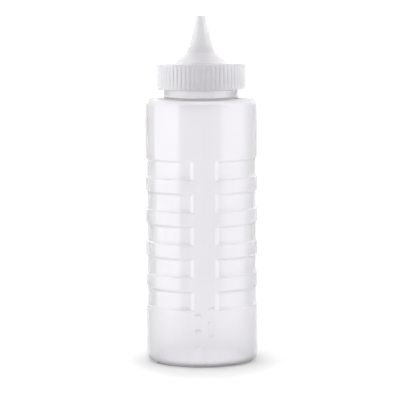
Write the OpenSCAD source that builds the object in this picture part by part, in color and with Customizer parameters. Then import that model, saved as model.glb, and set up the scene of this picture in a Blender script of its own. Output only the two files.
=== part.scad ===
// Squeeze bottle for sauces. A blow-moulded bottle with grip grooves stands on
// a ring under its base. A ribbed screw cap with a cone spout turns on its
// neck, and a soft liner ring seals the cap against the rim.
// Millimetres, +Z up, origin in the middle of the underside.

/* [Body] */
// Outside diameter of the body
body_d = 75.2; // [70:0.2:80]
// Height of the flat shoulder above the table
shoulder_z = 178.5; // [176:0.5:182]
// Radius where the wall rolls over into the shoulder
shoulder_round = 5; // [3:0.5:6]
// Thickness of the blown wall
wall = 1.2; // [0.8:0.1:1.5]
// Radius where the wall rolls under into the base
base_round = 9; // [7:0.5:10]
// Width of the flat ring that the bottle stands on
foot_w = 2.5; // [2:0.5:4]
// How far the middle of the base is pushed up
push_up = 3; // [2:0.5:5]

/* [Grip grooves] */
// Number of grooves around the body
groove_count = 5; // [3:1:6]
// Depth of a groove
groove_depth = 1.1; // [0.6:0.1:1.4]
// Height of a groove between the ledge below it and the band above it
groove_h = 11.8; // [9:0.2:13]
// Distance from one groove to the next
groove_pitch = 21.65; // [18:0.05:23]
// Height of the lowest groove's ledge above the table
groove_z = 38.4; // [30:0.1:40]
// Radius of the rolled lower edge of each band
band_round = 4; // [3:0.5:5]
// Angle of the plain strip that interrupts the grooves, front and back
strip_angle = 27; // [20:1:40]

/* [Neck] */
// Outside diameter of the neck between its threads
neck_d = 50.2; // [50:0.1:50.5]
// Inside diameter of the neck
neck_bore_d = 46.6; // [46.2:0.1:47]
// Height of the neck above the shoulder
neck_h = 20.1; // [19.5:0.1:20.5]
// Diameter of the bead that closes the gap under the skirt
bead_d = 54.4; // [53:0.1:54.6]

/* [Screw thread] */
// Rise of the thread in one turn
pitch = 4.233; // [4:0.01:4.5]
// How far the crest stands off the neck
thread_h = 1.05; // [0.9:0.05:1.1]
// Width of the flat crest
crest_w = 0.9; // [0.7:0.1:1]
// Slope of each flank, from the horizontal
flank_angle = 28; // [20:1:30]
// Turns on the neck
neck_turns = 1.5; // [1.25:0.05:1.6]
// Turns in the cap
cap_turns = 1.15; // [1:0.05:1.2]

/* [Cap] */
// Diameter over the ribs
cap_d = 59.6; // [59.4:0.1:61]
// Height of the skirt
skirt_h = 17.4; // [17:0.1:17.6]
// Thickness of the cap's flat top
deck_t = 1.6; // [1.4:0.1:1.8]
// Number of grip ribs around the skirt
rib_count = 60; // [40:2:80]
// How far the ribs stand off the skirt
rib_h = 0.6; // [0.4:0.1:0.8]
// Chamfer around the top edge
cap_chamfer = 0.8; // [0.5:0.1:1]
// How far the lip at the bottom of the skirt stands off the ribs
lip_out = 0.6; // [0.4:0.1:0.8]
// Height of the lip
lip_h = 0.7; // [0.5:0.1:1]

/* [Spout] */
// Diameter of the flared foot of the spout
flare_d = 39.8; // [36:0.2:42]
// Diameter at the crease between the flare and the cone
crease_d = 20.6; // [18:0.2:22]
// Height of the crease above the flat top
crease_h = 7; // [6:0.5:8]
// Diameter of the cone where its lower curve ends
cone_d = 16; // [14:0.2:17]
// Height of that place above the flat top
cone_h = 12.5; // [11:0.5:14]
// Diameter of the tip
tip_d = 6.8; // [6:0.2:8]
// Height of the tip above the flat top
tip_h = 31.4; // [28:0.2:36]
// Thickness of the spout
spout_wall = 1.3; // [1:0.1:1.5]
// Diameter of the outlet
outlet_d = 4; // [3:0.1:4.2]
// Length of the straight outlet
outlet_h = 5; // [4:0.5:6]

/* [Liner] */
// Thickness of the soft ring when it is squeezed
liner_t = 0.96; // [0.9:0.01:0.98]
// Inside diameter of the ring
liner_bore_d = 45.6; // [45.2:0.2:46]

/* [Hidden] */
$fn = 128;

// Points on each rounded stretch of an outline
arc_steps = 8;
// Steps in one turn of a thread, how far each runs under the next, and how
// many steps the thread takes to rise to its full height
steps_per_turn = 24;
step_overlap = 1;
run_in = 4;
// Gap kept between faces that meet but move apart
face_gap = 0.02;
// Radial gap between the cap's crest and the neck
thread_gap = 0.3;
// Radial gap between the neck's crest and the cap
bore_gap = 0.45;
// Radial gap between the bead and the skirt
bead_gap = 0.5;
// Radial gap between the liner ring and the cap
liner_gap = 0.4;
// Gap between the two flanks that carry the load, wider than one step of the stair
flank_gap = 0.35;
// How far a thread is sunk into its wall
sunk = 0.5;
// How far a cutter runs on past the face that it opens
overcut = 1;

// Width of the slope between the standing ring and the pushed-up middle
push_up_w = 7.5;
// How far the plain strips run on above and below the grooves, and how much
// narrower their hollow is, in degrees
strip_over = 4;
strip_edge = 4;
// Radius where the neck meets the shoulder
neck_root = 1;
// How far the bead starts below the skirt, and the height of its slope and of its flat
bead_drop = 1.2;
bead_lead = 1.3;
// Height of the thread's middle above the bead, where the thread starts
thread_rise = 1.4;
// Height inside the skirt that is opened out to pass over the bead
relief_h = 3.2;
// Share of the ribs' spacing that a rib takes at its top and at its foot
rib_top = 0.32;
rib_foot = 0.64;
// How far the flare and the lower cone are hollowed in between their ends
flare_sag = 0.4;
cone_sag = 0.3;
// Chamfer around the tip
tip_chamfer = 0.4;
// How far the crease inside the spout lies below the one outside
crease_drop = 1;

body_r = body_d / 2;
floor_r = body_r - groove_depth;
foot_r = body_r - base_round;
neck_r = neck_d / 2;
rim_z = shoulder_z + neck_h;
deck_under_z = rim_z + liner_t + 2 * face_gap;
deck_z = deck_under_z + deck_t;
skirt_z = deck_z - skirt_h;
tip_z = deck_z + tip_h;

bead_r = bead_d / 2;
bead_z = skirt_z - bead_drop;
bead_top_z = bead_z + 2 * bead_lead + bead_r - neck_r;

cap_r = cap_d / 2;
cap_bore_r = neck_r + thread_h + bore_gap;
relief_r = bead_r + bead_gap;
relief_z = skirt_z + relief_h;

// Where the neck's thread starts, how far the cap's thread lies below it, and
// the angle at which the cap's thread starts
thread_z = bead_top_z + thread_rise;
thread_drop = crest_w + thread_h * tan(flank_angle) + flank_gap;
cap_thread_start = 150;

// Heights between which the plain strips run
strip_z = [groove_z - strip_over, groove_z + (groove_count - 1) * groove_pitch + groove_h + strip_over];

// Points along an arc round centre c
function arc(c, r, from, to) =
    [for (i = [0:arc_steps]) let (a = from + (to - from) * i / arc_steps)
        c + r * [cos(a), sin(a)]];

// Points from p to q along a shallow curve that is bowed to the left by sag
function bowed(p, q, sag) =
    let (along = q - p, left = [-along[1], along[0]] / norm(along))
    [for (i = [0:arc_steps]) let (t = i / arc_steps) p + along * t + left * 4 * sag * t * (1 - t)];

// The base, from the axis out to the wall
function base_points(inset) = concat(
    [[0, push_up + inset], [foot_r - foot_w - push_up_w, push_up + inset], [foot_r - foot_w, inset]],
    arc([foot_r, base_round], base_round - inset, -90, 0));

// One groove: a sharp ledge below, and the rolled lower edge of the band above
function groove_points(k, inset) =
    let (ledge = groove_z + k * groove_pitch - inset,
         top = ledge + groove_h + 2 * inset,
         turn = acos((band_round - groove_depth) / band_round),
         centre = [body_r - inset - band_round, top + band_round * sin(turn)])
    concat([[body_r - inset, ledge], [floor_r - inset, ledge]], arc(centre, band_round, -turn, 0));

// The grooved skin from the base to the shoulder, set in from the outside by inset
function skin_points(inset) = concat(
    base_points(inset),
    [for (k = [0:groove_count - 1]) each groove_points(k, inset)],
    arc([body_r - shoulder_round, shoulder_z - shoulder_round], shoulder_round - inset, 0, 90));

// The neck above the shoulder, up to the rim
function neck_points() = concat(
    arc([neck_r + neck_root, shoulder_z + neck_root], neck_root, 270, 180),
    [[neck_r, bead_z], [bead_r, bead_z + bead_lead], [bead_r, bead_z + 2 * bead_lead],
     [neck_r, bead_top_z], [neck_r, rim_z], [0, rim_z]]);

// A screw thread built as a stair of short rings, each a little higher than the last.
// Its profile runs from the wall, at r_wall, to the crest, at r_crest. The thread's
// middle is at height z where it begins, at angle start.
module thread(r_wall, r_crest, z, start, turns) {
    count = round(turns * steps_per_turn);
    step = 360 / steps_per_turn;
    reach = r_crest - r_wall;
    half_foot = crest_w / 2 + abs(reach) * tan(flank_angle);
    for (i = [0:count - 1]) {
        // the first and last steps rise out of the wall
        crest = r_wall + reach * min(1, (i + 2) / run_in, (count + 1 - i) / run_in);
        translate([0, 0, z + pitch * (i + 0.5) / steps_per_turn])
            rotate(start + i * step)
                rotate_extrude(angle = step + step_overlap)
                    polygon([[r_wall, -half_foot], [crest, -crest_w / 2],
                        [crest, crest_w / 2], [r_wall, half_foot]]);
    }
}

// The plain strips at the front and back, between radii r_in and r_out
module strips(r_in, r_out, angle, z) {
    for (facing = [-90, 90])
        rotate(facing - angle / 2)
            rotate_extrude(angle = angle)
                polygon([[r_in, z[0]], [r_out, z[0]], [r_out, z[1]], [r_in, z[1]]]);
}

module bottle() {
    color([0.9, 0.9, 0.93, 0.6])
        difference() {
            union() {
                rotate_extrude()
                    polygon(concat(skin_points(0), neck_points()));
                strips(floor_r - wall / 2, body_r, strip_angle, strip_z);
                thread(neck_r - sunk, neck_r + thread_h, thread_z, 0, neck_turns);
            }
            rotate_extrude()
                polygon(concat(skin_points(wall), [[neck_bore_d / 2, shoulder_z - wall],
                    [neck_bore_d / 2, rim_z + overcut], [0, rim_z + overcut]]));
            strips(floor_r - 2 * wall, body_r - wall, strip_angle - strip_edge, strip_z + [wall, -wall]);
        }
}

module cap_liner() {
    color("whitesmoke")
        translate([0, 0, rim_z + face_gap])
            difference() {
                cylinder(h = liner_t, r = cap_bore_r - liner_gap);
                translate([0, 0, -overcut])
                    cylinder(h = liner_t + 2 * overcut, d = liner_bore_d);
            }
}

// The skirt's outline, with a rib standing on every step round it
module ribbed_disc() {
    step = 360 / rib_count;
    root_r = cap_r - rib_h;
    polygon([for (i = [0:rib_count - 1])
        for (p = [[root_r, -rib_foot], [cap_r, -rib_top], [cap_r, rib_top], [root_r, rib_foot]])
            let (a = (i + p[1] / 2) * step) p[0] * [cos(a), sin(a)]]);
}

module skirt() {
    intersection() {
        translate([0, 0, skirt_z])
            linear_extrude(skirt_h)
                ribbed_disc();
        rotate_extrude()
            polygon([[0, skirt_z], [cap_r + overcut, skirt_z],
                [cap_r + overcut, deck_z - cap_chamfer - overcut],
                [cap_r - cap_chamfer, deck_z], [0, deck_z]]);
    }
    translate([0, 0, skirt_z])
        cylinder(h = lip_h, r = cap_r + lip_out);
}

module spout() {
    rotate_extrude()
        polygon(concat(
            [[0, deck_z - deck_t / 2], [flare_d / 2, deck_z - deck_t / 2]],
            bowed([flare_d / 2, deck_z], [crease_d / 2, deck_z + crease_h], flare_sag),
            bowed([crease_d / 2, deck_z + crease_h], [cone_d / 2, deck_z + cone_h], cone_sag),
            [[tip_d / 2, tip_z - tip_chamfer], [tip_d / 2 - tip_chamfer, tip_z], [0, tip_z]]));
}

// Everything inside the cap: the relief over the bead, the bore for the neck and the spout's passage
module cap_hollow() {
    rotate_extrude()
        polygon(concat(
            [[0, skirt_z - overcut], [relief_r, skirt_z - overcut], [relief_r, relief_z],
             [cap_bore_r, relief_z + relief_r - cap_bore_r], [cap_bore_r, deck_under_z]],
            bowed([flare_d / 2 - 2 * spout_wall, deck_under_z],
                [crease_d / 2 - spout_wall, deck_z + crease_h - crease_drop], flare_sag),
            [[cone_d / 2 - spout_wall, deck_z + cone_h], [outlet_d / 2, tip_z - outlet_h],
             [outlet_d / 2, tip_z + overcut], [0, tip_z + overcut]]));
}

module cap() {
    color([0.95, 0.95, 0.97]) {
        difference() {
            union() {
                skirt();
                spout();
            }
            cap_hollow();
        }
        thread(cap_bore_r + sunk, neck_r + thread_gap,
            thread_z + pitch * cap_thread_start / 360 - thread_drop, cap_thread_start, cap_turns);
    }
}

bottle();
cap_liner();
cap();
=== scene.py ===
"""The looks of a translucent squeeze bottle with grip grooves and a ribbed screw cap.

Metres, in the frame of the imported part: +Z up, the bottle's axis on Z, the front faces -Y.
Each piece is a lathe mesh: an outline in (radius, height) that goes round Z in many columns,
with the grooves, ribs and screw threads worked into the radius of every column.
"""

import math

import bmesh
import bpy
import numpy as np
from mathutils import Matrix, Vector


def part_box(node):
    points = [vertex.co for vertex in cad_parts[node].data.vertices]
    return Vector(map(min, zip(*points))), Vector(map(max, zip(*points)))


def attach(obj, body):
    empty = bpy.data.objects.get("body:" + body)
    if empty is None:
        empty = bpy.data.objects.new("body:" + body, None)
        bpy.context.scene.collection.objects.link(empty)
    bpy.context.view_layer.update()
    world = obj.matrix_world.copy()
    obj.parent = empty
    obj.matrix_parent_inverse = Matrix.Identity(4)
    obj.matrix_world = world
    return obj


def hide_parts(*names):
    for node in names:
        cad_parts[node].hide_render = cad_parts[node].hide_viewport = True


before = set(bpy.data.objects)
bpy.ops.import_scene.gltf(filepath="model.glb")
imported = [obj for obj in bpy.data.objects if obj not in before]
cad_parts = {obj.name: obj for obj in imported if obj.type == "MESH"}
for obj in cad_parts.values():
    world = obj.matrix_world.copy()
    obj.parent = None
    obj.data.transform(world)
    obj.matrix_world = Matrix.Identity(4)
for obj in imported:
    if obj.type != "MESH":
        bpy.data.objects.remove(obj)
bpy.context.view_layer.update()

# ---- Places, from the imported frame
bottle_low, bottle_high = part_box("bottle")
cap_low, cap_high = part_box("cap")
liner_low, liner_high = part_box("cap_liner")

BODY_R = (bottle_high[0] - bottle_low[0]) / 2
RIM_Z = bottle_high[2]
SKIRT_Z = cap_low[2]
TIP_Z = cap_high[2]
LIP_R = (cap_high[0] - cap_low[0]) / 2
LINER_R = (liner_high[0] - liner_low[0]) / 2

# ---- Body
NECK_H = 0.0201
SHOULDER_Z = RIM_Z - NECK_H
SHOULDER_ROUND = 0.005
WALL = 0.0012
BASE_ROUND = 0.009
FOOT_W = 0.0025
FOOT_ROUND = 0.0006
PUSH_UP = 0.003
PUSH_UP_W = 0.0075
PUSH_UP_ROUND = 0.004

# ---- Fineness of the meshes: the longest step along each kind of outline, and how close
# ---- two numbers are that are the same
WALL_STEP = 0.004
THREAD_STEP = 0.00035
CAP_STEP = 0.002
CAP_THREAD_STEP = 0.00028
LINER_STEP = 0.0008
TIP_STEP = 0.003
COLUMN_DEGREES = 3.0
COLUMNS_A_RIB = 8
RAMP_COLUMNS = 9
RAMP_MARGIN = 0.5  # degrees by which these columns reach past the strip's ramp
TICK_COLUMNS = 6
TICK_MARGIN = 0.7  # degrees by which these columns reach to each side of a bar's end
TICK_RINGS = 7
SAME = 1e-6
WELD = 1e-7
STRAIGHT = 1e-3  # radians: a corner that turns less isn't rounded

# ---- Grip grooves, and the plain strips at the front and back that interrupt them
GROOVE_COUNT = 5
GROOVE_DEPTH = 0.0011
GROOVE_H = 0.0118
GROOVE_PITCH = 0.02165
GROOVE_Z = 0.0384
BAND_ROUND = 0.004
BAND_CROWN = 0.00012
CROWN_ROUND = 0.02
LAST_BAND_H = 6 * GROOVE_DEPTH  # this band runs on into the plain wall above it
FLOOR_FLARE = 0.0002
FLOOR_FLARE_H = 0.002
FLOOR_ROUND = 0.003
LEDGE_SLOPE = 0.0006  # height in which a groove's lower ledge falls back to its floor
LEDGE_ROUND = 0.0005
LEDGE_FOOT_ROUND = 0.0006
INSIDE_SOFTER = 0.0006  # what the fillets gain on the inside of the wall
STRIP_HALF = 11.0  # degrees from the strip's middle to its edge
STRIP_RAMP = 5.0  # degrees over which the edge falls to the groove's floor
STRIP_EASE = 1.8  # 1 gives the ramp a straight slope, and more makes it steep at the strip
STRIP_BELOW = 0.004  # how far the strips run on below the lowest groove
STRIP_ABOVE = 0.006

# ---- Measuring scale on the front strip: raised bars. Each of the two columns of bars is
# ---- (side, height of its lowest bar, step).
TICK_ANGLES = (3.5, 10)  # degrees from the strip's middle
TICK_END = 0.6  # degrees over which a bar's end rises
TICK_H = 0.0013
TICK_RISE = 0.001
TICKS_A_SIDE = 3
SCALES = ((-1, 0.0138, 0.0107), (1, 0.0209, 0.0096))

# ---- Neck and screw thread
NECK_R = 0.0251
NECK_BORE_R = 0.0233
NECK_ROOT = 0.0008
NECK_PAINTED_LIGHT_AND_HAZE = (SHOULDER_Z - 0.004, SHOULDER_Z + 0.001)  # between these the colour is painted lighter, as painted light for the neck, and the surface gets hazier
EDGE_ROUND = 0.0003
BEAD_FOOT_ROUND = 0.0004
BEAD_R = 0.0272
BEAD_Z = SKIRT_Z - 0.0012
BEAD_LEAD = 0.0013
BEAD_START_Z = SKIRT_Z - 0.0004
BEAD_TOP_Z = BEAD_Z + 2 * BEAD_LEAD + BEAD_R - NECK_R
PITCH = 0.004233
THREAD_H = 0.00105
HALF_CREST = 0.00045
FLANK_DEGREES = 28
HALF_FOOT = HALF_CREST + THREAD_H * math.tan(math.radians(FLANK_DEGREES))
RUN_IN = 1 / 12  # turns over which a thread rises out of its wall
THREAD_START_H = 0.0014
NECK_THREAD_Z = BEAD_TOP_Z + THREAD_START_H
NECK_TURNS = 1.5
CAP_THREAD_START = 150
CAP_TURNS = 1.15
THREAD_GAP = 0.0003
FLANK_GAP = 0.00035
THREAD_DROP = HALF_CREST + HALF_FOOT + FLANK_GAP
CAP_THREAD_Z = NECK_THREAD_Z + PITCH * CAP_THREAD_START / 360 - THREAD_DROP

# ---- Cap and spout
LIP_OUT = 0.0006
LIP_H = 0.0007
LIP_ROUND = 0.00015
LIP_FOOT_ROUND = 0.00025
CAP_R = LIP_R - LIP_OUT
SKIRT_H = 0.0174
SKIRT_FLARE = 0.0003
DECK_Z = SKIRT_Z + SKIRT_H
DECK_T = 0.0016
DECK_UNDER_Z = DECK_Z - DECK_T
DECK_ROUND = 0.0006
CAP_CHAMFER = 0.0008
CAP_BORE_R = 0.0266
BEAD_GAP = 0.0005
RELIEF_R = BEAD_R + BEAD_GAP
RELIEF_H = 0.0032
RELIEF_Z = SKIRT_Z + RELIEF_H
BORE_TOP_ROUND = 0.0005
RIB_COUNT = 60
RIB_H = 0.0003
RIB_TOP = 0.45  # share of a rib's spacing that is flat on top
RIB_FOOT = 0.8  # share of it that the whole rib takes
RIB_END_TOP = 0.0006  # height in which a rib fades out at its top
RIB_END_LOW = 0.0003
FLARE_R = 0.0199
FLARE_SAG = 0.0003
CREASE_R = 0.0103
CREASE_H = 0.007
CREASE_EDGE = 0.00015  # how far the points lie that keep the crease crisp
CONE_R = 0.008
CONE_H = 0.0125
CONE_SAG = 0.0001
TIP_R = 0.0034
TIP_EDGE = 0.0004
SPOUT_WALL = 0.0013
INNER_CREASE_DROP = 0.001
INNER_FLARE_SAG = 0.0004
OUTLET_R = 0.002
OUTLET_H = 0.005
OUTLET_ROUND = 0.004
SPOUT_PAINTED_LIGHT = (DECK_Z, DECK_Z + 0.012)  # between these the colour is painted paler, as painted light for the thin spout

# ---- Liner ring
LINER_BORE_R = 0.0228
LINER_BORE_EDGE = 0.0002

# ---- Studio light. Each edge is a pair of values between which a light fades in: parts of a
# ---- direction for the room, and distances from Z on the floor.
ROOM_LIGHT = 0.91
BACKDROP_LIGHT = 0.59
BACKDROP_EDGE = (0.2, 0.5)
OVERHEAD_LIGHT = 0.2
OVERHEAD_EDGE = (0.2, 0.8)
FRONT_LIGHT = -0.6
FRONT_EDGE = (-0.4, -0.9)
ROOM_TINT = (0.993, 0.988, 1.0)
SEEN_LIGHT = 1.05  # what the camera itself sees of the world
FLOOR_HALF = 3
SPOT_GLOW = 0.95
SPOT_EDGE = (BODY_R - 0.4 * BASE_ROUND, BODY_R - 1.4 * BASE_ROUND)
SWEEP_GLOW = 0.12
SWEEP_EDGE = (0.062, 0.1)
SWEEP_SQUEEZE = (1.8, 1, 1)  # brings the rise closer to the bottle at its sides

# ---- Softboxes, as (name, degrees from the camera's azimuth, width, power), all equally high
SOFTBOXES = (("softbox_left", -75, 0.336, 0.47), ("softbox_right", 71, 0.302, 0.3))
SOFTBOX_H = 0.48
SOFTBOX_Z = 0.12
SOFTBOX_DISTANCE = 0.28
AIM_Z = TIP_Z / 2

# ---- Camera. Its azimuth turns it round Z, and its pan, tilt and roll aim it, in degrees.
LENS = 214.6
SHIFT_Y = -0.05
VIEW_DISTANCE = 1.6
VIEW_HEIGHT = 0.2744
VIEW_TILT = 5.44
VIEW_PAN = 0.034
VIEW_ROLL = -0.338
VIEW_AZIMUTH = -2.8


# ---- Outlines: lists of (radius, height)
def rounded(corners, degrees_a_step=12):
    """The outline through corners of (radius, height, fillet). The first and the last corner stay
    sharp, and the others are rounded by an arc."""
    points = []
    last = len(corners) - 1
    for i, (r, z, fillet) in enumerate(corners):
        here = Vector((r, z))
        if not fillet or i in (0, last):
            points.append(here)
            continue
        into = here - Vector(corners[i - 1][:2])
        out = Vector(corners[i + 1][:2]) - here
        room = min(into.length, out.length) * 0.49
        into.normalize()
        out.normalize()
        turn = math.acos(max(-1.0, min(1.0, into.dot(out))))
        if turn < STRAIGHT:
            points.append(here)
            continue
        fillet = min(fillet, room / math.tan(turn / 2))
        side = 1 if into.x * out.y > into.y * out.x else -1
        start = here - into * fillet * math.tan(turn / 2)
        centre = start + Vector((-into.y, into.x)) * side * fillet
        steps = max(3, math.ceil(math.degrees(turn) / degrees_a_step))
        for k in range(steps + 1):
            a = side * turn * k / steps
            arm = start - centre
            points.append(centre + Vector((arm.x * math.cos(a) - arm.y * math.sin(a),
                                           arm.x * math.sin(a) + arm.y * math.cos(a))))
    return [tuple(p) for p in points]


def filled(points, longest):
    """The same outline with points added where two are further apart than longest."""
    out = [points[0]]
    for (r0, z0), (r1, z1) in zip(points, points[1:]):
        parts = max(1, math.ceil(math.hypot(r1 - r0, z1 - z0) / longest))
        for k in range(1, parts + 1):
            out.append((r0 + (r1 - r0) * k / parts, z0 + (z1 - z0) * k / parts))
    return out


def bowed(start, end, sag, steps=10):
    """Points from start to end along a shallow curve, bowed to the left by sag."""
    along = Vector(end) - Vector(start)
    left = Vector((-along.y, along.x)).normalized()
    points = []
    for i in range(steps + 1):
        t = i / steps
        points.append(tuple(Vector(start) + along * t + left * 4 * sag * t * (1 - t)))
    return points


def groove_corners(k, inset, soften):
    """Groove k: a ledge below, a floor that flares at its foot, and a rolled edge above. inset is
    how far inside the outer wall it lies, and soften is added to the fillets."""
    ledge = GROOVE_Z + k * GROOVE_PITCH
    top = ledge + GROOVE_H
    wall_r = BODY_R - inset
    floor_r = wall_r - GROOVE_DEPTH
    turn = math.acos(1 - GROOVE_DEPTH / BAND_ROUND)
    roll = GROOVE_DEPTH / math.tan(turn)
    is_last = k == GROOVE_COUNT - 1
    band_top = top + LAST_BAND_H if is_last else GROOVE_Z + (k + 1) * GROOVE_PITCH
    return [
        (wall_r - BAND_CROWN, ledge, LEDGE_ROUND + soften),
        (floor_r + FLOOR_FLARE, ledge + LEDGE_SLOPE, LEDGE_FOOT_ROUND + soften),
        (floor_r, ledge + LEDGE_SLOPE + FLOOR_FLARE_H, FLOOR_ROUND),
        (floor_r, top, FLOOR_ROUND + soften),
        (wall_r, top + roll, BAND_ROUND),
        (wall_r, (top + roll + band_top) / 2, CROWN_ROUND),
    ]


def base_corners(inset):
    """The pushed-up middle, the standing ring and the roll up into the wall."""
    foot_r = BODY_R - BASE_ROUND
    return [
        (0, PUSH_UP + inset, 0),
        (foot_r - FOOT_W - PUSH_UP_W, PUSH_UP + inset, PUSH_UP_ROUND),
        (foot_r - FOOT_W, inset, FOOT_ROUND),
        (BODY_R - inset, inset, BASE_ROUND - inset),
    ]


def body_outline(inset, soften):
    """The body from the middle of its base to the edge of its shoulder."""
    corners = base_corners(inset)
    for k in range(GROOVE_COUNT):
        corners += groove_corners(k, inset, soften)
    corners += [(BODY_R - inset, SHOULDER_Z - inset, SHOULDER_ROUND - inset)]
    return corners


def neck_corners():
    """The neck outside, over the rim and down its bore."""
    return [
        (NECK_R, SHOULDER_Z, NECK_ROOT),
        (NECK_R, BEAD_START_Z, EDGE_ROUND),
        (BEAD_R, BEAD_Z + BEAD_LEAD, EDGE_ROUND),
        (BEAD_R, BEAD_Z + 2 * BEAD_LEAD, EDGE_ROUND),
        (NECK_R, BEAD_TOP_Z, BEAD_FOOT_ROUND),
        (NECK_R, RIM_Z, EDGE_ROUND),
        (NECK_BORE_R, RIM_Z, EDGE_ROUND),
        (NECK_BORE_R, SHOULDER_Z - WALL, NECK_ROOT + WALL),
    ]


def smoothed(points, reach=0.0025, samples=11):
    """Each point's height averaged with its neighbours' along the outline, so that the points of
    a ledge spread out on the plain strip, where there is no ledge."""
    steps = [math.dist(a, b) for a, b in zip(points, points[1:])]
    along = np.concatenate([[0], np.cumsum(steps)])
    heights = np.array([z for r, z in points])
    shifts = np.linspace(-reach, reach, samples)
    return np.mean([np.interp(along + s, along, heights) for s in shifts], axis=0)


# ---- Meshes
def lathe(name, columns, place, closed):
    """A mesh of rings round Z. place(angle) gives every ring's radius and height at an angle
    in degrees. closed joins the last ring to the first; otherwise both ends are on the axis."""
    vertices = []
    for angle in columns:
        radii, heights = place(angle)
        a = math.radians(angle)
        vertices += [(r * math.cos(a), r * math.sin(a), z) for r, z in zip(radii, heights)]
    rings = len(radii)
    faces = []
    for j in range(len(columns)):
        here = j * rings
        there = (j + 1) % len(columns) * rings
        for i in range(rings if closed else rings - 1):
            up = (i + 1) % rings
            faces.append((here + i, there + i, there + up, here + up))
    mesh = bpy.data.meshes.new(name)
    mesh.from_pydata(vertices, [], faces)
    obj = bpy.data.objects.new(name, mesh)
    bpy.context.collection.objects.link(obj)
    finish_mesh(obj)
    return obj


def finish_mesh(obj):
    """Welds the points that share a place, turns the faces outward and shades them smooth."""
    bm = bmesh.new()
    bm.from_mesh(obj.data)
    bmesh.ops.remove_doubles(bm, verts=bm.verts, dist=WELD)
    bmesh.ops.recalc_face_normals(bm, faces=bm.faces)
    bm.to_mesh(obj.data)
    bm.free()
    obj.data.shade_smooth()
    weighted = obj.modifiers.new("weighted_normals", "WEIGHTED_NORMAL")
    weighted.keep_sharp = True


def thread_rise(angle, heights, start_z, start_angle, turns):
    """How far the thread stands out at each height on this angle, from 0 to 1."""
    rise = np.zeros_like(heights)
    part = (angle - start_angle) % 360 / 360
    for lap in range(math.ceil(turns)):
        travelled = part + lap
        end = min(1.0, travelled / RUN_IN, (turns - travelled) / RUN_IN)
        away = np.abs(heights - start_z - PITCH * travelled)
        profile = np.clip((HALF_FOOT - away) / (HALF_FOOT - HALF_CREST), 0, 1)
        rise = np.maximum(rise, profile * max(0.0, end))
    return rise


def strip_share(angle):
    """1 on the plain strips, 0 between them, and the ramp at their edges."""
    off_middle = abs(angle % 180 - 90)
    t = min(1.0, max(0.0, (off_middle - STRIP_HALF) / STRIP_RAMP))
    return (1 - t) ** STRIP_EASE


def tick_heights():
    """The side and the middle height of every bar of the scale."""
    return [(side, low + k * step) for side, low, step in SCALES for k in range(TICKS_A_SIDE)]


def soft_edge(inside, width):
    """0 outside, 1 inside, rising smoothly over width. inside is the distance in from the edge."""
    t = np.clip(inside / width, 0, 1)
    return t * t * (3 - 2 * t)


def tick_rise(angle, heights):
    """How far a bar of the scale stands out at each height on this angle, from 0 to 1."""
    off_middle = (angle - 270 + 180) % 360 - 180
    rise = np.zeros_like(heights)
    for side, z in tick_heights():
        away = side * off_middle
        across = soft_edge(min(away - TICK_ANGLES[0], TICK_ANGLES[1] - away), TICK_END)
        rise = np.maximum(rise, across * soft_edge(TICK_H / 2 - np.abs(heights - z), TICK_H / 3))
    return rise


def with_tick_rings(points):
    """The outside's points, with more rings where the bars of the scale are."""
    start = next(i for i, (r, z) in enumerate(points) if r > BODY_R - 1.5 * GROOVE_DEPTH)
    wall = points[start:]
    radii = [r for r, z in wall]
    heights = [z for r, z in wall]
    shares = np.linspace(-0.55, 0.55, TICK_RINGS)
    extra = [z + TICK_H * share for side, z in tick_heights() for share in shares]
    rings = [(float(np.interp(z, heights, radii)), float(z)) for z in extra if z > heights[0]]
    return points[:start] + sorted(wall + rings, key=lambda point: point[1])


def bottle_columns():
    """Angles round the bottle, closer together where a strip's edge or a bar of the scale is."""
    angles = set(np.arange(0, 360, COLUMN_DEGREES))
    for end in TICK_ANGLES:
        near = np.linspace(end - TICK_MARGIN, end + TICK_MARGIN, TICK_COLUMNS)
        angles |= set(270 + near) | set(270 - near)
    ramp_end = STRIP_HALF + STRIP_RAMP
    ramp = np.linspace(STRIP_HALF - RAMP_MARGIN, ramp_end + RAMP_MARGIN, RAMP_COLUMNS)
    for middle in (90, 270):
        angles |= set(np.round(middle + ramp, 3) % 360) | set(np.round(middle - ramp, 3) % 360)
    return sorted(angles)


def bottle_outline():
    """The points of the body's outside, of the neck inside and out, and of the body's inside."""
    outer = rounded(body_outline(0, 0) + [(NECK_R, SHOULDER_Z, NECK_ROOT)])
    outer = with_tick_rings(filled(outer[:-1], WALL_STEP))
    neck = rounded([outer[-1] + (0,)] + neck_corners() + [(BODY_R, SHOULDER_Z - WALL, 0)])[1:]
    rim = next(i for i, (r, z) in enumerate(neck) if r < NECK_R - SAME)
    neck = filled(neck[:rim], THREAD_STEP) + filled(neck[rim:], WALL_STEP)
    neck = [p for p in neck if p[0] < BODY_R - SHOULDER_ROUND]
    inner = rounded(body_outline(WALL, INSIDE_SOFTER) + [(NECK_BORE_R, SHOULDER_Z - WALL, 0)])
    inner = filled(inner[:-1], WALL_STEP)[::-1]
    return outer, neck, inner


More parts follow.
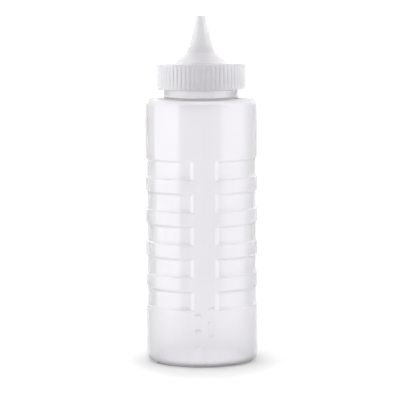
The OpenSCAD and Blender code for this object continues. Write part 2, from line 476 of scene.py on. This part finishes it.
def make_bottle():
    """The blown bottle: one closed skin, from the underside over the rim to the inside of the base."""
    outer, neck, inner = bottle_outline()
    outline = outer + neck + inner
    radii = np.array([r for r, z in outline])
    heights = np.array([z for r, z in outline])

    low_z = GROOVE_Z - STRIP_BELOW
    high_z = GROOVE_Z + (GROOVE_COUNT - 1) * GROOVE_PITCH + GROOVE_H + STRIP_ABOVE
    plain_r = radii.copy()
    plain_z = heights.copy()
    outside = slice(0, len(outer))
    inside = slice(len(outer) + len(neck), None)
    for part, r in ((outside, BODY_R), (inside, BODY_R - WALL)):
        z = smoothed(outline[part])
        within = (heights[part] > low_z) & (heights[part] < high_z)
        plain_r[part] = np.where(within, r, radii[part])
        plain_z[part] = np.where(within, z, heights[part])
    on_wall = np.arange(len(outline)) < len(outer)
    on_neck = (np.abs(radii - NECK_R) < SAME) & (heights > BEAD_TOP_Z)

    def place(angle):
        share = strip_share(angle)
        r = radii + (plain_r - radii) * share
        z = heights + (plain_z - heights) * share
        rise = thread_rise(angle, heights, NECK_THREAD_Z, 0, NECK_TURNS)
        marks = np.where(on_wall, TICK_RISE * tick_rise(angle, z), 0)
        return r + np.where(on_neck, THREAD_H * rise, 0) + marks, z

    return lathe("bottle_shell", bottle_columns(), place, closed=False)


def rib_share(angle):
    """1 on top of a rib, 0 in the groove between two, with soft flanks."""
    phase = angle * RIB_COUNT / 360 % 1
    off = 2 * abs(phase - round(phase))
    t = min(1.0, max(0.0, (off - RIB_TOP) / (RIB_FOOT - RIB_TOP)))
    return 0.5 + 0.5 * math.cos(math.pi * t)


def skirt_corners():
    """The skirt outside, from its lower edge up to the flat top and in to the flare."""
    return [
        (LIP_R, SKIRT_Z, LIP_ROUND),
        (LIP_R, SKIRT_Z + LIP_H, LIP_FOOT_ROUND),
        (CAP_R + SKIRT_FLARE, SKIRT_Z + LIP_H, LIP_FOOT_ROUND),
        (CAP_R, DECK_Z - CAP_CHAMFER, DECK_ROUND),
        (CAP_R - CAP_CHAMFER, DECK_Z, DECK_ROUND),
    ]


def toward(point, target):
    """A point just beside the given one, so that the edge there stays crisp."""
    return tuple(Vector(point) + (Vector(target) - Vector(point)).normalized() * CREASE_EDGE)


def spout_points():
    """The flare, the cone and the tip outside, then the passage down to the flat top's underside."""
    crease = (CREASE_R, DECK_Z + CREASE_H)
    cone = (CONE_R, DECK_Z + CONE_H)
    flare = bowed((FLARE_R, DECK_Z), crease, FLARE_SAG)
    throat = bowed(crease, cone, CONE_SAG)
    crisp = [toward(crease, flare[-2]), crease, toward(crease, throat[1])]
    tip = rounded([
        cone + (0,),
        (TIP_R, TIP_Z, TIP_EDGE),
        (OUTLET_R, TIP_Z, TIP_EDGE),
        (OUTLET_R, TIP_Z - OUTLET_H, OUTLET_ROUND),
        (CONE_R - SPOUT_WALL, DECK_Z + CONE_H, 0),
    ])[1:]
    inner_crease = (CREASE_R - SPOUT_WALL, DECK_Z + CREASE_H - INNER_CREASE_DROP)
    inner_foot = (FLARE_R - 2 * SPOUT_WALL, DECK_UNDER_Z)
    inner_flare = bowed(inner_crease, inner_foot, -INNER_FLARE_SAG)
    return flare[:-1] + crisp + throat[1:] + filled(tip, TIP_STEP) + inner_flare


def make_cap():
    """The cap: one closed skin round the skirt, over the spout and down its inside."""
    outside = rounded([(RELIEF_R, SKIRT_Z, 0)] + skirt_corners() + [(FLARE_R, DECK_Z, 0)])
    outside = filled(outside[:-1], CAP_STEP)
    bore = rounded([
        (FLARE_R - 2 * SPOUT_WALL, DECK_UNDER_Z, 0),
        (CAP_BORE_R, DECK_UNDER_Z, BORE_TOP_ROUND),
        (CAP_BORE_R, RELIEF_Z + RELIEF_R - CAP_BORE_R, EDGE_ROUND),
        (RELIEF_R, RELIEF_Z, EDGE_ROUND),
        (RELIEF_R, SKIRT_Z, 0),
    ])
    bore = filled(bore[1:-1], CAP_THREAD_STEP)
    outline = outside + spout_points() + bore
    radii = np.array([r for r, z in outline])
    heights = np.array([z for r, z in outline])

    index = np.arange(len(outline))
    rib_low = SKIRT_Z + LIP_H + RIB_END_LOW
    rib_high = DECK_Z - CAP_CHAMFER
    ribbed = (index < len(outside)) & (radii > CAP_R - CAP_CHAMFER) & (heights > rib_low)
    fade_high = np.clip((rib_high - heights) / RIB_END_TOP, 0, 1)
    fade_low = np.clip((heights - rib_low) / RIB_END_LOW, 0, 1)
    depth = np.where(ribbed, RIB_H * fade_high * fade_low, 0)
    threaded = (index >= len(outside)) & (np.abs(radii - CAP_BORE_R) < SAME)
    thread_h = CAP_BORE_R - NECK_R - THREAD_GAP

    def place(angle):
        rise = thread_rise(angle, heights, CAP_THREAD_Z, CAP_THREAD_START, CAP_TURNS)
        inward = np.where(threaded, thread_h * rise, 0)
        return radii - depth * (1 - rib_share(angle)) - inward, heights

    columns = np.arange(0, 360, 360 / RIB_COUNT / COLUMNS_A_RIB)
    return lathe("cap_shell", columns, place, closed=True)


def make_liner():
    """The soft ring that is squeezed between the cap and the rim."""
    low, high = liner_low[2], liner_high[2]
    middle = (LINER_BORE_R, (low + high) / 2, 0)
    outline = rounded([
        middle,
        (LINER_BORE_R, low, LINER_BORE_EDGE),
        (LINER_R, low, EDGE_ROUND),
        (LINER_R, high, EDGE_ROUND),
        (LINER_BORE_R, high, LINER_BORE_EDGE),
        middle,
    ])
    outline = filled(outline[:-1], LINER_STEP)
    radii = np.array([r for r, z in outline])
    heights = np.array([z for r, z in outline])
    columns = np.arange(0, 360, COLUMN_DEGREES)
    return lathe("liner_ring", columns, lambda angle: (radii, heights), closed=True)


# ---- Materials. A Mix node's colour sockets are reached by number, since its other sockets
# ---- have the same names.
MIX_LOW = 6
MIX_HIGH = 7
MIX_COLOUR = 2


def new_material(name):
    """A node material with a Principled shader, and its node tree and shader."""
    material = bpy.data.materials.new(name)
    material.use_nodes = True
    return material, material.node_tree, material.node_tree.nodes["Principled BSDF"]


def noise(tree, scale, detail=3, stretch=(1, 1, 1)):
    """A noise pattern fixed to the piece. stretch scales it along each axis."""
    where = tree.nodes.new("ShaderNodeTexCoord")
    sizes = tree.nodes.new("ShaderNodeMapping")
    sizes.inputs["Scale"].default_value = stretch
    pattern = tree.nodes.new("ShaderNodeTexNoise")
    pattern.inputs["Scale"].default_value = scale
    pattern.inputs["Detail"].default_value = detail
    tree.links.new(where.outputs["Object"], sizes.inputs["Vector"])
    tree.links.new(sizes.outputs["Vector"], pattern.inputs["Vector"])
    return pattern.outputs["Fac"]


def ramp(tree, factor, low, high, start=0.35, end=0.65):
    """factor turned into a colour between low and high."""
    blend = tree.nodes.new("ShaderNodeValToRGB")
    blend.color_ramp.elements[0].position = start
    blend.color_ramp.elements[1].position = end
    blend.color_ramp.elements[0].color = (*low, 1)
    blend.color_ramp.elements[1].color = (*high, 1)
    tree.links.new(factor, blend.inputs["Fac"])
    return blend.outputs["Color"]


def spread(tree, factor, low, high):
    """factor turned into a number between low and high."""
    span = tree.nodes.new("ShaderNodeMapRange")
    span.inputs["From Min"].default_value = 0.3
    span.inputs["From Max"].default_value = 0.7
    span.inputs["To Min"].default_value = low
    span.inputs["To Max"].default_value = high
    tree.links.new(factor, span.inputs["Value"])
    return span.outputs["Result"]


def by_height(tree, below, above, heights):
    """A colour or a number that changes from below to above between two heights."""
    where = tree.nodes.new("ShaderNodeTexCoord")
    parts = tree.nodes.new("ShaderNodeSeparateXYZ")
    share = tree.nodes.new("ShaderNodeMapRange")
    share.inputs["From Min"].default_value, share.inputs["From Max"].default_value = heights
    blend = tree.nodes.new("ShaderNodeMix")
    blend.data_type = "RGBA"
    tree.links.new(where.outputs["Object"], parts.inputs["Vector"])
    tree.links.new(parts.outputs["Z"], share.inputs["Value"])
    tree.links.new(share.outputs["Result"], blend.inputs["Factor"])
    tree.links.new(below, blend.inputs[MIX_LOW])
    tree.links.new(above, blend.inputs[MIX_HIGH])
    return blend.outputs[MIX_COLOUR]


def bump(tree, shader, heights):
    """Adds relief to the shader. heights is a list of (pattern, strength, depth in metres)."""
    normal = None
    for pattern, strength, depth in heights:
        relief = tree.nodes.new("ShaderNodeBump")
        relief.inputs["Strength"].default_value = strength
        relief.inputs["Distance"].default_value = depth
        tree.links.new(pattern, relief.inputs["Height"])
        if normal:
            tree.links.new(normal, relief.inputs["Normal"])
        normal = relief.outputs["Normal"]
    tree.links.new(normal, shader.inputs["Normal"])


def bottle_plastic():
    """Blown natural polyethylene: satin, with faint upright flow streaks and a fine grain. The
    neck's colour is painted lighter, as painted light for the light that reaches it through the plastic,
    and its surface is hazier."""
    material, tree, shader = new_material("bottle_plastic_look")
    streaks = noise(tree, 90, 4, (1, 1, 0.06))
    clouds = noise(tree, 28, 2)
    grain = noise(tree, 1400, 2)
    body = ramp(tree, clouds, (0.902, 0.894, 0.914), (0.918, 0.91, 0.928))
    # painted light: the neck's lighter colour stands in for the light that the plastic carries into it
    # under the cap
    neck = ramp(tree, clouds, (0.99, 0.985, 0.99), (1, 0.995, 1))
    tree.links.new(by_height(tree, body, neck, NECK_PAINTED_LIGHT_AND_HAZE), shader.inputs["Base Color"])
    satin = spread(tree, streaks, 0.3, 0.38)
    hazy = spread(tree, streaks, 0.55, 0.62)
    tree.links.new(by_height(tree, satin, hazy, NECK_PAINTED_LIGHT_AND_HAZE), shader.inputs["Roughness"])
    shader.inputs["IOR"].default_value = 1.3
    shader.inputs["Transmission Weight"].default_value = 0.93
    shader.inputs["Coat Weight"].default_value = 1.0
    shader.inputs["Coat Roughness"].default_value = 0.1
    shader.inputs["Coat IOR"].default_value = 1.9
    bump(tree, shader, [(streaks, 0.15, 0.0002), (grain, 0.12, 0.00005)])
    return material


def cap_plastic():
    """Moulded natural polyethylene: milkier than the bottle, satin, with a very fine grain. It is
    painted paler up the thin spout, as painted light for the light that comes through its thin wall."""
    material, tree, shader = new_material("cap_plastic_look")
    clouds = noise(tree, 40, 3)
    grain = noise(tree, 1800, 2)
    skirt = ramp(tree, clouds, (0.835, 0.825, 0.85), (0.855, 0.845, 0.87))
    # painted light: the spout's paler colour stands in for the light through its thin wall
    spout = ramp(tree, clouds, (0.965, 0.96, 0.973), (0.98, 0.975, 0.985))
    tree.links.new(by_height(tree, skirt, spout, SPOUT_PAINTED_LIGHT), shader.inputs["Base Color"])
    tree.links.new(spread(tree, clouds, 0.34, 0.42), shader.inputs["Roughness"])
    shader.inputs["IOR"].default_value = 1.49
    shader.inputs["Transmission Weight"].default_value = 0.4
    shader.inputs["Coat Weight"].default_value = 1.0
    shader.inputs["Coat Roughness"].default_value = 0.17
    bump(tree, shader, [(grain, 0.12, 0.00004)])
    return material


def liner_foam():
    """White closed-cell foam: matt, with small cells."""
    material, tree, shader = new_material("liner_foam_look")
    cells = tree.nodes.new("ShaderNodeTexVoronoi")
    cells.inputs["Scale"].default_value = 2500
    tree.links.new(noise(tree, 300, 2), cells.inputs["Randomness"])
    tree.links.new(ramp(tree, cells.outputs["Distance"], (0.84, 0.84, 0.83), (0.9, 0.9, 0.89), 0, 0.6),
                   shader.inputs["Base Color"])
    shader.inputs["Roughness"].default_value = 0.85
    bump(tree, shader, [(cells.outputs["Distance"], 0.4, 0.0001)])
    return material


def floor_glow(tree):
    """The floor's own glow: a lit spot hidden under the bottle, and a rise away from it."""
    where = tree.nodes.new("ShaderNodeTexCoord")
    far = tree.nodes.new("ShaderNodeVectorMath")
    far.operation = "LENGTH"
    tree.links.new(where.outputs["Object"], far.inputs[0])
    spot = glow(tree, far.outputs["Value"], SPOT_EDGE, SPOT_GLOW)
    squeezed = tree.nodes.new("ShaderNodeVectorMath")
    squeezed.operation = "MULTIPLY"
    squeezed.inputs[1].default_value = SWEEP_SQUEEZE
    tree.links.new(where.outputs["Object"], squeezed.inputs[0])
    reach = tree.nodes.new("ShaderNodeVectorMath")
    reach.operation = "LENGTH"
    tree.links.new(squeezed.outputs["Vector"], reach.inputs[0])
    sweep = glow(tree, reach.outputs["Value"], SWEEP_EDGE, SWEEP_GLOW)
    return total(tree, spot, sweep)


def floor_white():
    """A white floor that the studio light washes out, so that only the contact shadow shows."""
    material, tree, shader = new_material("floor_white_look")
    grain = noise(tree, 3, 2)
    tree.links.new(ramp(tree, grain, (0.81, 0.81, 0.81), (0.83, 0.83, 0.83)), shader.inputs["Base Color"])
    shader.inputs["Roughness"].default_value = 0.9
    shader.inputs["Specular IOR Level"].default_value = 0.0
    shader.inputs["Emission Color"].default_value = (1, 1, 1, 1)
    tree.links.new(floor_glow(tree), shader.inputs["Emission Strength"])
    return material


def settle(piece, material, body, node):
    """Gives a piece its material, puts it on the body that it rides on and hides the part that it stands
    for.
    """
    piece.data.materials.append(material)
    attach(piece, body)
    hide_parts(node)


# ---- Studio
def make_floor():
    """A square of white floor round the bottle."""
    floor = bpy.data.meshes.new("floor")
    sides = ((-1, -1), (1, -1), (1, 1), (-1, 1))
    corners = [(x * FLOOR_HALF, y * FLOOR_HALF, 0) for x, y in sides]
    floor.from_pydata(corners, [], [(0, 1, 2, 3)])
    floor.materials.append(floor_white())
    obj = bpy.data.objects.new("floor", floor)
    bpy.context.collection.objects.link(obj)


def make_softbox(name, azimuth, width, power):
    """An upright lamp aimed at the bottle, at an azimuth in degrees that grows to the right. It
    isn't seen directly, nor through the plastic."""
    lamp = bpy.data.lights.new(name, "AREA")
    lamp.shape = "RECTANGLE"
    lamp.size = width
    lamp.size_y = SOFTBOX_H
    lamp.energy = power
    obj = bpy.data.objects.new(name, lamp)
    bpy.context.collection.objects.link(obj)
    a = math.radians(azimuth)
    obj.location = (SOFTBOX_DISTANCE * math.sin(a), -SOFTBOX_DISTANCE * math.cos(a), SOFTBOX_Z)
    aim = Vector((0, 0, AIM_Z)) - obj.location
    obj.rotation_euler = aim.to_track_quat("-Z", "Y").to_euler()
    obj.visible_camera = False
    obj.visible_transmission = False


def glow(tree, part, edges, extra):
    """A light that fades in as part goes from the first of the edges to the second. A negative
    one takes light away."""
    rise = tree.nodes.new("ShaderNodeMapRange")
    rise.interpolation_type = "SMOOTHSTEP"
    rise.inputs["From Min"].default_value, rise.inputs["From Max"].default_value = edges
    rise.inputs["To Min"].default_value = 0
    rise.inputs["To Max"].default_value = extra
    tree.links.new(part, rise.inputs["Value"])
    return rise.outputs["Result"]


def total(tree, first, second):
    """The sum of two values in a node tree. The second may be a plain number."""
    add = tree.nodes.new("ShaderNodeMath")
    tree.links.new(first, add.inputs[0])
    if isinstance(second, float):
        add.inputs[1].default_value = second
    else:
        tree.links.new(second, add.inputs[1])
    return add.outputs["Value"]


def make_world():
    """A studio that is brighter overhead and behind the bottle and darker in front of it. To the
    camera it is white."""
    world = bpy.data.worlds.new("studio")
    bpy.context.scene.world = world
    world.use_nodes = True
    tree = world.node_tree
    tree.nodes["Background"].inputs["Color"].default_value = (*ROOM_TINT, 1)
    direction = tree.nodes.new("ShaderNodeTexCoord")
    parts = tree.nodes.new("ShaderNodeSeparateXYZ")
    tree.links.new(direction.outputs["Generated"], parts.inputs["Vector"])
    backdrop = glow(tree, parts.outputs["Y"], BACKDROP_EDGE, BACKDROP_LIGHT)
    overhead = glow(tree, parts.outputs["Z"], OVERHEAD_EDGE, OVERHEAD_LIGHT)
    front = glow(tree, parts.outputs["Y"], FRONT_EDGE, FRONT_LIGHT)
    light = ROOM_LIGHT
    for part in (backdrop, overhead, front):
        light = total(tree, part, light)
    seen = tree.nodes.new("ShaderNodeLightPath")
    choice = tree.nodes.new("ShaderNodeMix")
    choice.inputs["B"].default_value = SEEN_LIGHT
    tree.links.new(seen.outputs["Is Camera Ray"], choice.inputs["Factor"])
    tree.links.new(light, choice.inputs["A"])
    tree.links.new(choice.outputs["Result"], tree.nodes["Background"].inputs["Strength"])


def make_camera():
    """A long lens in front of the bottle, a little above its cap and tilted down."""
    lens = bpy.data.cameras.new("camera")
    lens.sensor_width = 36
    lens.lens = LENS
    lens.shift_y = SHIFT_Y
    lens.clip_start = 0.01
    obj = bpy.data.objects.new("camera", lens)
    bpy.context.collection.objects.link(obj)
    turn = Matrix.Rotation(math.radians(VIEW_PAN), 4, "Z")
    tilt = Matrix.Rotation(math.radians(90 - VIEW_TILT), 4, "X")
    roll = Matrix.Rotation(math.radians(VIEW_ROLL), 4, "Z")
    place = Matrix.Translation((0, -VIEW_DISTANCE, VIEW_HEIGHT))
    obj.matrix_world = Matrix.Rotation(math.radians(VIEW_AZIMUTH), 4, "Z") @ place @ turn @ tilt @ roll
    bpy.context.scene.camera = obj


make_camera()
make_world()
make_floor()
for lamp_name, turned, lamp_width, lamp_power in SOFTBOXES:
    make_softbox(lamp_name, VIEW_AZIMUTH + turned, lamp_width, lamp_power)
bpy.context.scene.view_settings.view_transform = "Standard"

settle(make_bottle(), bottle_plastic(), "bottle", "bottle")
settle(make_liner(), liner_foam(), "liner", "cap_liner")
settle(make_cap(), cap_plastic(), "cap", "cap")
